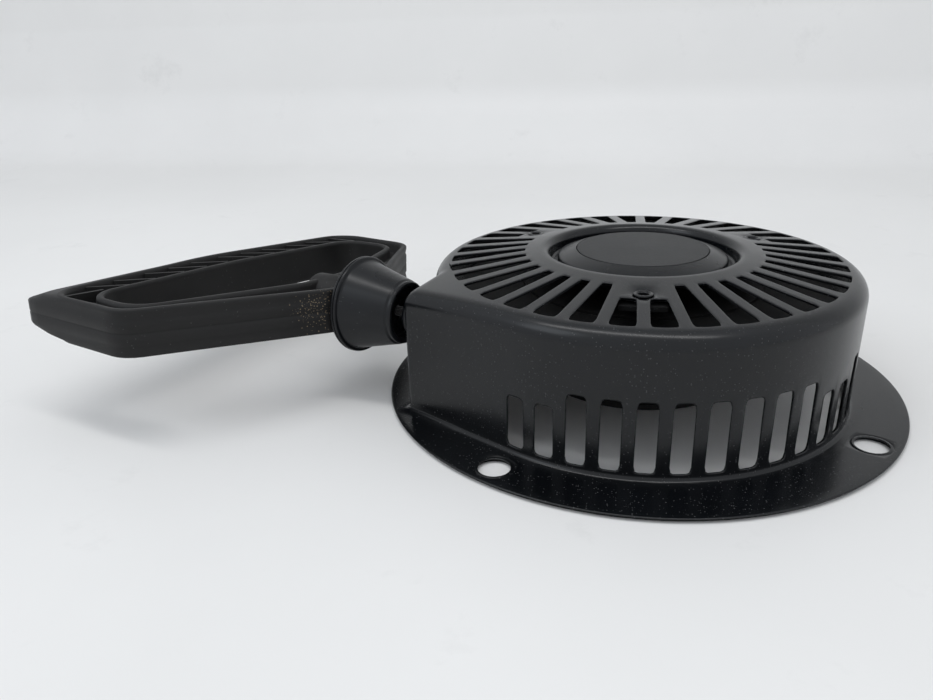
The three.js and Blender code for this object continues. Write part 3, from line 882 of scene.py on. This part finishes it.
# ---- Rope line ----
class STARTER_OT_eyelet(bpy.types.Operator):
    """Build the hard bushing in the rope outlet"""

    bl_idname = "starter.eyelet"
    bl_label = "Eyelet"

    def execute(self, context):
        face = OUTLET_END + 0.05
        profile = [(2.6, EYELET_START), (5.7, EYELET_START), (5.7, face), (7.8, face), (7.8, face + 1.9),
                   (6.6, EYELET_END), (3.8, EYELET_END), (2.6, face + 1.6), (2.6, EYELET_START)]
        rounded = fillet(profile, (0.2, 0.0, 0.0, 0.5, 0.8, 1.2, 0.8), 5)
        eyelet = lathe("outlet_bushing", rounded, 72, rope_point)
        dress(eyelet, "Satin moulding", "satin_plastic", "root", "rope_eyelet")
        return {"FINISHED"}


class STARTER_OT_cup(bpy.types.Operator):
    """Build the conical cup at the neck of the handle"""

    bl_idname = "starter.cup"
    bl_label = "Cup"

    def execute(self, context):
        web = CUP_START + 4.5
        lip = CUP_END - 2.6
        profile = [(2.3, web), (8.9, web), (9.4, CUP_START + 0.6), (9.9, CUP_START), (10.9, CUP_START),
                   (11.4, CUP_START + 0.5), (11.4, CUP_START + 1.5), (11.95, CUP_START + 2.2), (16.4, lip),
                   (17.9, lip + 0.4), (17.9, lip + 1.1), (17.3, lip + 1.35), (17.9, lip + 1.6),
                   (17.9, CUP_END), (14.8, CUP_END), (11.7, web + 2.0), (2.3, web + 2.0), (2.3, web)]
        radii = (0.6, 0.2, 0.3, 0.3, 0.3, 0.2, 0.4, 0.9, 0.7, 0.15, 0.1, 0.15, 0.6, 0.6, 0.8, 0.0)
        cup = lathe("handle_cone", fillet(profile, radii, 6), 160, rope_point)
        dress(cup, "Satin moulding", "satin_plastic", "handle", "handle_cup")
        return {"FINISHED"}


class STARTER_OT_rope(bpy.types.Operator):
    """Build the braided rope between the outlet and the knot, and the turns on the drum"""

    bl_idname = "starter.rope"
    bl_label = "Rope"

    def execute(self, context):
        radius = sizes().rope_r * 0.97
        steps = 60
        reaches = [STRAND_START + (STRAND_END - STRAND_START) * i / steps for i in range(steps + 1)]
        profile = [(0.0, STRAND_START), *((radius, reach) for reach in reaches), (0.0, STRAND_END)]
        rope = lathe("pull_rope", profile, 24, rope_point)
        wrap = rope.data.uv_layers.new(name="wrap")
        for polygon in rope.data.polygons:
            turns = []
            for index in polygon.loop_indices:
                p = np.array(rope.data.vertices[rope.data.loops[index].vertex_index].co) / MM - AXIS
                side = p @ SIDE_DIR - ROPE_OFFSET
                turns.append([math.atan2(p[2] - ROPE_Z, side) / math.tau % 1.0, p @ ROPE_DIR / ROPE_PITCH])
            if max(t[0] for t in turns) - min(t[0] for t in turns) > 0.5:
                turns = [[u + (u < 0.5), v] for u, v in turns]
            for index, uv in zip(polygon.loop_indices, turns):
                wrap.data[index].uv = uv
        rope.data.materials.append(FINISHES["Braided rope"])
        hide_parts("rope_strand")
        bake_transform(rope)
        self.wound_turns()
        return {"FINISHED"}

    def wound_turns(self):
        """Rope on the drum, as stacked rings with round backs."""
        low, high = box_mm("wound_rope")
        middle = (low[2] + high[2]) / 2
        outer = (high[0] - low[0]) / 2
        section = [polar(1.85, 360 * k / 14) for k in range(15)]
        vertices, faces = [], []
        for r in (outer - 1.9, outer - 5.0):
            for z in (middle - sizes().rope_r, middle + sizes().rope_r):
                add_turned(vertices, faces, [(r + dr, z + dz) for dr, dz in section], 180)
        turns = new_object("wound_turns", vertices, faces)
        wrap = turns.data.uv_layers.new(name="wrap")
        for loop in turns.data.loops:
            p = np.array(turns.data.vertices[loop.vertex_index].co) / MM - AXIS
            wrap.data[loop.index].uv = (p[2] / 12, math.atan2(p[1], p[0]) * outer / ROPE_PITCH)
        dress(turns, "Braided rope", "rope_fibre", "pulley", "wound_rope")


# ---- Grip ----
def grip_point(x, y, z):
    """A point in the grip's own frame: out along the rope, across, and up, turned by the grip's roll."""
    roll = math.radians(sizes().grip_roll)
    side = y * math.cos(roll) - z * math.sin(roll)
    up = y * math.sin(roll) + z * math.cos(roll)
    return rope_point(GRIP_START + x, side, up)


GRIP_COUNTS = (26, 14, 30, 30, 14, 26, 12)


def grip_outline(bulge):
    """Outline of the grip; bulge moves its palm side out, in millimetres."""
    corners = [(0.2, -13.5), (33, -75), (75 + bulge, -76), (84.5 + bulge * 0.7, 0),
               (75.5 + bulge * 1.19, 77 + bulge * 0.08), (35, 77), (0.2, 13.5)]
    return rounded_loop(corners, (4, 13, 14 - bulge * 0.5, 110, 12 - bulge * 0.65, 10, 4), GRIP_COUNTS)


def finger_outline():
    corners = [(18.5, -12), (38, -66), (62.5, -66), (66.5, 0), (62.5, 68), (38, 68), (18.5, 12)]
    return rounded_loop(corners, (7, 11, 11, 70, 11, 11, 7), GRIP_COUNTS)


def grip_section(h):
    """Half of the grip's section above the parting line: (from, distance in, height), outside to inside.
    The first field names the outline it is measured from."""
    return [
        ("crown", 0.0, 0.35), ("crown", 0.0, 3.8), ("crown", 0.5, 4.5),
        ("slope", 0.0, h - 1.5), ("rim", 0.0, h - 0.5), ("rim", 0.3, h - 0.15), ("rim", 0.8, h),
        ("rim", 2.0, h), ("rim", 2.5, h - 0.4), ("rim", 2.8, h - 1.4), ("rim", 3.1, 3.6), ("rim", 3.7, 2.9),
        ("finger", -3.5, 2.9), ("finger", -2.9, 3.6), ("finger", -2.7, h - 2.0), ("finger", -2.4, h - 0.9),
        ("finger", -1.7, h - 0.45), ("finger", -0.6, h - 0.45), ("finger", -0.1, h - 0.8),
        ("finger", 0.2, h - 1.6), ("finger", -0.1, h - 2.6), ("finger", -0.2, 0.35),
    ]


class STARTER_OT_grip(bpy.types.Operator):
    """Build the hollow-channelled loop grip with its ribs and the rope's knot"""

    bl_idname = "starter.grip"
    bl_label = "Grip"

    def execute(self, context):
        h = sizes().grip_half
        rim, crown, finger = (np.array(o) for o in (grip_outline(0), grip_outline(11), finger_outline()))
        slope = rim * 0.5 + crown * 0.5
        inward = finger - rim
        inward /= np.linalg.norm(inward, axis=1)[:, None]
        start = {"rim": rim, "crown": crown, "slope": slope, "finger": finger}
        upper = grip_section(h)
        section = upper + [(name, d, -z) for name, d, z in reversed(upper)] + [("crown", 0.34, 0.0)]
        rows = []
        for name, distance, z in section:
            rows.append([grip_point(*(start[name][i] + inward[i] * distance), z) for i in range(len(rim))])
        vertices, faces = [], []
        for here, following in zip(rows, rows[1:] + rows[:1]):
            add_band(vertices, faces, here, following)
        grip = new_object("loop_grip", vertices, faces)
        boss = self.boss()
        ribs = self.ribs(rim, finger, inward)
        with context.temp_override(active_object=grip, object=grip,
                                   selected_objects=[grip, boss, ribs],
                                   selected_editable_objects=[grip, boss, ribs]):
            bpy.ops.object.join()
        dress(grip, "Grip rubber", "grip_rubber", "handle", "handle_grip")
        knot = self.knot()
        dress(knot, "Braided rope", "rope_fibre", "handle", "rope_knot")
        return {"FINISHED"}

    def boss(self):
        """Round boss on the rope's line, open at its end for the knot."""
        profile = [(0.0, 1.5), (9.2, 1.5), (8.9, 20.5), (7.9, 21.6), (5.4, 21.6), (5.0, 15.0), (0.0, 15.0)]
        return lathe("grip_boss", fillet(profile, (0.0, 0.6, 0.8, 0.6, 0.4), 4), 64, grip_point)

    def ribs(self, rim, finger, inward):
        """Slanting ribs in both channels, set out along the middle of the channel."""
        bpy.ops.mesh.primitive_cube_add(size=1)
        shape = bpy.context.object
        shape.data.transform(Matrix.Diagonal((14.5 * MM, 1.3 * MM, 4.6 * MM, 1)))
        shape.data.materials.append(FINISHES["Grip rubber"])
        middle = (rim + inward * 3 + finger - inward * 3) / 2
        count = sizes().rib_count
        first, last = sum(GRIP_COUNTS[:2]) - 2, sum(GRIP_COUNTS[:4]) + 2
        points, turns = [], []
        roll = math.radians(sizes().grip_roll)
        for i in range(count):
            k = int(round(first + (last - first) * (i + 0.5) / count))
            along = middle[k + 1] - middle[k - 1]
            turn = math.atan2(along[1], along[0]) - math.radians(42)
            for z in (1, -1):
                place = grip_point(middle[k][0], middle[k][1], z * 5.1)
                points.append((np.array(place) + AXIS) * MM)
                local = Matrix.Rotation(math.radians(ROPE_ANGLE), 4, "Z")
                local = local @ Matrix.Rotation(roll, 4, "X") @ Matrix.Rotation(turn, 4, "Z")
                turns.append(tuple(local.to_euler()))
        return instance_tree("grip_ribs", points, shape, turns)

    def knot(self):
        """The rope's end, tied in a lump that fills the boss."""
        rng = random.Random(4)
        bm = bmesh.new()
        bmesh.ops.create_icosphere(bm, subdivisions=4, radius=1.0)
        waves = [(rng.uniform(2, 4), rng.uniform(0, 6), Vector([rng.uniform(-1, 1) for _ in range(3)]))
                 for _ in range(5)]
        points = []
        for v in bm.verts:
            swell = 3.9 + sum(0.16 * math.sin(f * v.co.dot(d) * 2 + p) for f, p, d in waves)
            points.append((v.co * swell))
        faces = [tuple(v.index for v in f.verts) for f in bm.faces]
        bm.free()
        vertices = [grip_point(20.2 + p.x, p.y, p.z) for p in points]
        knot = new_object("tied_knot", vertices, faces)
        wrap = knot.data.uv_layers.new(name="wrap")
        for loop in knot.data.loops:
            p = points[loop.vertex_index]
            wrap.data[loop.index].uv = (math.atan2(p.y, p.z) / math.tau, p.x / ROPE_PITCH)
        return knot


# ---- CAD nodes that keep their shape ----
KEPT = {
    # Painted shade: the steel spider plate, spring keeper and dog retainer take the dark finish, standing
    # in for the shade inside the housing
    "Inner painted shade": ("spider_plate", "spring_keeper", "dog_retainer"),
    "Zinc steel": ("center_post", "brake_washer", "center_screw", "starter_dog_1", "starter_dog_2"),
    "Spring steel": ("rewind_spring", "thrust_washer", "brake_spring", "dog_spring_1", "dog_spring_2"),
    "Nylon": ("pulley", "dog_carrier"),
    "Braided rope": ("pulley_knot",),
}


class STARTER_OT_inner_parts(bpy.types.Operator):
    """Give the parts inside the housing their finishes"""

    bl_idname = "starter.inner_parts"
    bl_label = "Inner parts"

    def execute(self, context):
        for name, nodes in KEPT.items():
            for node in nodes:
                data = frame["nodes"][node].data
                data.materials.clear()
                data.materials.append(FINISHES[name])
        return {"FINISHED"}


# ---- Stage ----
class StarterStage(bpy.types.PropertyGroup):
    """Camera and light."""

    camera_place: FloatVectorProperty(
        name="Camera", description="Place round the pulley's axis, in millimetres",
        default=(-7.33, -280.0, 128.45))
    camera_pitch: measure("Pitch", "Degrees down", 22.69)
    camera_yaw: measure("Yaw", "Degrees towards the handle", 12.005)
    camera_roll: measure("Roll", "Degrees", -1.80)
    lens: measure("Lens", "Focal length on a 36 mm frame", 29.55)
    floor_tone: hue("Floor", "Colour of the table", (0.80, 0.795, 0.78))
    key_power: measure("Ceiling lamp", "Watts", 2.4)
    sky: measure("Surroundings", "Strength of the even light", 0.85)


def area_light(name, place, target, size, power, tint=(1, 1, 1)):
    light = bpy.data.lights.new(name, "AREA")
    light.shape = "RECTANGLE"
    light.size, light.size_y = size
    light.energy = power
    light.color = tint
    obj = add_object(name, light)
    obj.location = (Vector(place) + Vector(AXIS)) * MM
    direction = Vector(target) - Vector(place)
    obj.rotation_euler = direction.to_track_quat("-Z", "Y").to_euler()
    return obj


class STARTER_OT_stage(bpy.types.Operator):
    """Build the pale table and wall, the lights and the camera"""

    bl_idname = "starter.stage"
    bl_label = "Stage"

    def execute(self, context):
        s = context.scene.starter_stage
        self.camera(context, s)
        profile = [(-1500.0, -0.5), (380.0, -0.5), (470.0, 8.0), (520.0, 60.0), (530.0, 140.0),
                   (560.0, 1400.0)]
        rounded = fillet(profile, (0, 60, 60, 60), 8)
        vertices, faces = [], []
        for y, z in rounded:
            vertices += [(-2200.0, y, z), (2200.0, y, z)]
        for i in range(len(rounded) - 1):
            faces.append((2 * i, 2 * i + 1, 2 * i + 3, 2 * i + 2))
        sweep = new_object("studio_sweep", vertices, faces)
        if sweep.data.polygons[0].normal.z < 0:
            sweep.data.flip_normals()
        sweep.data.materials.append(self.table_finish(s.floor_tone))
        sweep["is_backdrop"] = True
        area_light("ceiling_lamp", (-40, -170, 900), (0, 0, 0), (1.0, 0.10), s.key_power)
        area_light("window", (-700, -500, 800), (0, 0, 20), (0.5, 0.5), s.key_power * 0.6,
                   (0.86, 0.93, 1.0))
        world = bpy.data.worlds.new("Studio")
        context.scene.world = world
        world.use_nodes = True
        background = world.node_tree.nodes["Background"]
        background.inputs[0].default_value = (0.92, 0.95, 1.0, 1.0)
        background.inputs[1].default_value = s.sky
        context.scene.view_settings.view_transform = "Standard"
        return {"FINISHED"}

    def camera(self, context, s):
        camera = bpy.data.cameras.new("camera")
        camera.lens = s.lens
        camera.sensor_width = 36.0
        obj = add_object("camera", camera)
        context.scene.camera = obj
        pitch, yaw, roll = (math.radians(a) for a in (s.camera_pitch, -s.camera_yaw, s.camera_roll))
        level = math.cos(pitch)
        forward = Vector((math.sin(yaw) * level, math.cos(yaw) * level, -math.sin(pitch)))
        right = Vector((math.cos(yaw), -math.sin(yaw), 0))
        up = right.cross(forward)
        turned_right = right * math.cos(roll) + up * math.sin(roll)
        turned_up = up * math.cos(roll) - right * math.sin(roll)
        rotation = Matrix((turned_right, turned_up, -forward)).transposed()
        place = (Vector(s.camera_place) + Vector(AXIS)) * MM
        obj.matrix_world = Matrix.Translation(place) @ rotation.to_4x4()

    def table_finish(self, tone):
        t, shader, place = new_finish("Table")
        clouds = t.ramp(t.noise(place, 3.2, 5.0), 0.3, 0.7)
        scuffs = t.ramp(t.noise(place, 26.0, 8.0, 0.7), 0.6, 0.75)
        shade = t.mix(clouds, colour(tuple(c * 0.93 for c in tone)), colour(tone))
        shade = t.mix(t.math("MULTIPLY", scuffs, 0.25), shade, colour(tuple(c * 0.7 for c in tone)))
        t.fill(shader, {"Base Color": shade, "Roughness": 0.45})
        return FINISHES["Table"]


class STARTER_PT_panel(bpy.types.Panel):
    """Lists the pieces and the sizes"""

    bl_label = "Recoil starter"
    bl_idname = "STARTER_PT_panel"
    bl_space_type = "VIEW_3D"
    bl_region_type = "UI"
    bl_category = "Starter"

    def draw(self, context):
        for operator in OPERATORS:
            self.layout.operator(operator.bl_idname)
        for group in (sizes(), colours(), context.scene.starter_stage):
            for name in group.bl_rna.properties.keys():
                if name not in ("rna_type", "name"):
                    self.layout.prop(group, name)


OPERATORS = (STARTER_OT_finishes, STARTER_OT_stage, STARTER_OT_housing, STARTER_OT_cap, STARTER_OT_rivets,
             STARTER_OT_eyelet, STARTER_OT_cup, STARTER_OT_rope, STARTER_OT_grip, STARTER_OT_inner_parts)
CLASSES = (StarterSizes, StarterColours, StarterStage, *OPERATORS, STARTER_PT_panel)


def register():
    for cls in CLASSES:
        bpy.utils.register_class(cls)
    bpy.types.Scene.starter_sizes = PointerProperty(type=StarterSizes)
    bpy.types.Scene.starter_colours = PointerProperty(type=StarterColours)
    bpy.types.Scene.starter_stage = PointerProperty(type=StarterStage)


def unregister():
    del bpy.types.Scene.starter_sizes
    del bpy.types.Scene.starter_colours
    del bpy.types.Scene.starter_stage
    for cls in reversed(CLASSES):
        bpy.utils.unregister_class(cls)


def main():
    register()
    for operator in OPERATORS:
        category, name = operator.bl_idname.split(".")
        getattr(getattr(bpy.ops, category), name)()
    plain = [[list(map(float, corner)) for corner in bounds] for bounds in (CAD_BOUNDS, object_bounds())]


if __name__ == "__main__":
    main()
